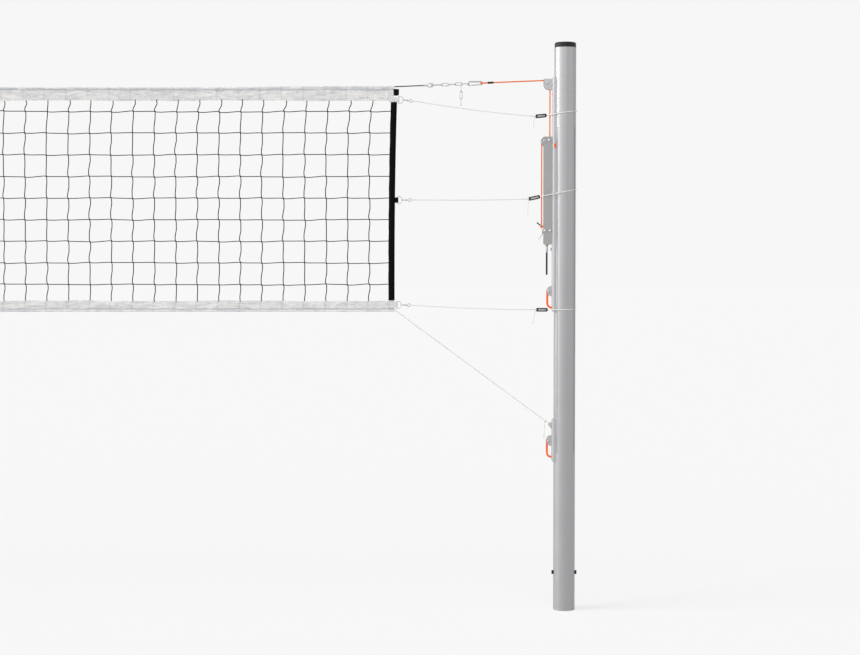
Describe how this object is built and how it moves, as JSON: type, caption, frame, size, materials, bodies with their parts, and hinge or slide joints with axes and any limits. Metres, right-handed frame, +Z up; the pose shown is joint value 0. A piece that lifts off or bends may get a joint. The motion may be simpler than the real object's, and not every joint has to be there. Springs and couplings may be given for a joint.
{
  "type": "volleyball net on poles",
  "caption": "Full-width volleyball net between two slotted aluminium posts with sliding carriages, cam clamps, side cords and a crank rope tensioner.",
  "frame": {"origin": "midway between the two post axes, at the level of the posts' feet", "axes": "+X along the net towards the post with the tensioner, +Y across the court away from the viewer, +Z up"},
  "size_m": [11.196, 0.1094, 2.634],
  "materials": {
    "post_aluminium": "satin",
    "carriage_aluminium": "matte",
    "housing_aluminium": "satin",
    "black_plastic": "satin",
    "bright_steel": "polished",
    "galvanised_steel": "satin",
    "bronze": "satin",
    "orange_plastic": "satin",
    "orange_rope": "matte",
    "dark_rope": "matte",
    "white_cord": "matte",
    "net_string": "matte",
    "white_tape": "matte",
    "black_tape": "matte",
    "rod_wood": "matte"
  },
  "bodies": {
    "posts": {"right_post": "post_aluminium", "left_post": "post_aluminium", "post_caps": "black_plastic", "foot_plugs": "black_plastic", "stop_pins": "black_plastic"},
    "rig": {"right_upper_carriage": "carriage_aluminium", "left_upper_carriage": "carriage_aluminium", "pulley_bracket": "carriage_aluminium", "anchor_bracket": "carriage_aluminium", "bracket_bolts": "bright_steel", "tensioner_housing": "housing_aluminium", "housing_bolts": "bright_steel", "rope_hook": "bright_steel", "spindle_bush": "bronze", "carriage_bolts": "bright_steel", "height_pointers": "orange_plastic", "upper_clamp_cheeks": "carriage_aluminium", "upper_clamp_bolts": "bright_steel", "net_mesh": "net_string", "top_tape": "white_tape", "bottom_tape": "white_tape", "side_bands": "black_tape", "side_rods": "rod_wood", "ring_straps": "white_tape", "d_rings": "bright_steel", "snap_hooks": "bright_steel", "cord_adjusters": "black_plastic", "side_cords": "white_cord", "cord_tails": "white_cord", "top_ropes": "dark_rope", "rope_ferrules": "galvanised_steel", "chain": "galvanised_steel", "shackle": "bright_steel", "carabiner": "bright_steel", "tension_rope": "orange_rope", "rope_sleeve": "black_plastic", "rope_knot": "orange_rope", "knot_tail": "black_tape", "bottom_ropes": "white_cord", "inner_rope": "orange_rope"},
    "top_sheave": {"top_pulley": "black_plastic"},
    "exit_sheave": {"exit_pulley": "black_plastic"},
    "screw": {"spindle": "bright_steel", "crank_coupling": "bright_steel"},
    "crank": {"crank_grip": "black_plastic"},
    "slider": {"traveller": "bronze", "traveller_bolt": "bright_steel"},
    "slider_sheave": {"traveller_pulley": "black_plastic"},
    "gate": {"carabiner_gate": "bright_steel"},
    "right_top_lever": {"right_upper_lever": "orange_plastic"},
    "left_top_lever": {"left_upper_lever": "orange_plastic"},
    "right_foot_carriage": {"right_lower_carriage": "carriage_aluminium", "right_lower_clamp": "bright_steel"},
    "left_foot_carriage": {"left_lower_carriage": "carriage_aluminium", "left_lower_clamp": "bright_steel"},
    "right_foot_lever": {"right_lower_lever": "orange_plastic"},
    "left_foot_lever": {"left_lower_lever": "orange_plastic"}
  },
  "joints": [
    {"name": "net_height", "type": "slide", "parent": "posts", "child": "rig", "axis": [0, 0, 1], "range_m": [-0.43, 0.07]},
    {"name": "top_sheave_spin", "type": "hinge", "parent": "rig", "child": "top_sheave", "pos_m": [5.4565, 0, 2.4478], "axis": [0, 1, 0], "continuous": true},
    {"name": "exit_sheave_spin", "type": "hinge", "parent": "rig", "child": "exit_sheave", "pos_m": [5.4425, 0, 2.18], "axis": [0, 1, 0], "continuous": true},
    {"name": "screw_turn", "type": "hinge", "parent": "rig", "child": "screw", "pos_m": [5.456, 0, 1.702], "axis": [0, 0, 1], "range_deg": [0, 5764]},
    {"name": "crank_fold", "type": "hinge", "parent": "screw", "child": "crank", "pos_m": [5.456, 0, 1.673], "axis": [0, 1, 0], "range_deg": [0, 80]},
    {"name": "slider_travel", "type": "slide", "parent": "rig", "child": "slider", "axis": [0, 0, 1], "range_m": [0, 0.128], "deforming": ["inner_rope"]},
    {"name": "slider_sheave_spin", "type": "hinge", "parent": "slider", "child": "slider_sheave", "pos_m": [5.46125, 0, 1.924], "axis": [0, 1, 0], "continuous": true},
    {"name": "gate_swing", "type": "hinge", "parent": "rig", "child": "gate", "pos_m": [5.14524, 0, 2.44059], "axis": [0, 1, 0], "range_deg": [0, 14], "stiffness_Nm_per_rad": 0.05, "springref_deg": -17.19},
    {"name": "right_top_clamp", "type": "hinge", "parent": "rig", "child": "right_top_lever", "pos_m": [5.464, 0, 1.4855], "axis": [0, 1, 0], "range_deg": [0, 100]},
    {"name": "left_top_clamp", "type": "hinge", "parent": "rig", "child": "left_top_lever", "pos_m": [-5.464, 0, 1.4855], "axis": [0, -1, 0], "range_deg": [0, 100]},
    {"name": "right_foot_slide", "type": "slide", "parent": "posts", "child": "right_foot_carriage", "axis": [0, 0, 1], "range_m": [-0.43, 0.07]},
    {"name": "left_foot_slide", "type": "slide", "parent": "posts", "child": "left_foot_carriage", "axis": [0, 0, 1], "range_m": [-0.43, 0.07]},
    {"name": "right_foot_clamp", "type": "hinge", "parent": "right_foot_carriage", "child": "right_foot_lever", "pos_m": [5.464, 0, 0.79], "axis": [0, 1, 0], "range_deg": [0, 100]},
    {"name": "left_foot_clamp", "type": "hinge", "parent": "left_foot_carriage", "child": "left_foot_lever", "pos_m": [-5.464, 0, 0.79], "axis": [0, -1, 0], "range_deg": [0, 100]}
  ],
  "couplings": [
    {"joint": "screw_turn", "follows": "slider_travel", "rad_per_m": 785.4},
    {"joint": "right_foot_slide", "follows": "net_height", "ratio": 1},
    {"joint": "left_foot_slide", "follows": "net_height", "ratio": 1}
  ]
}
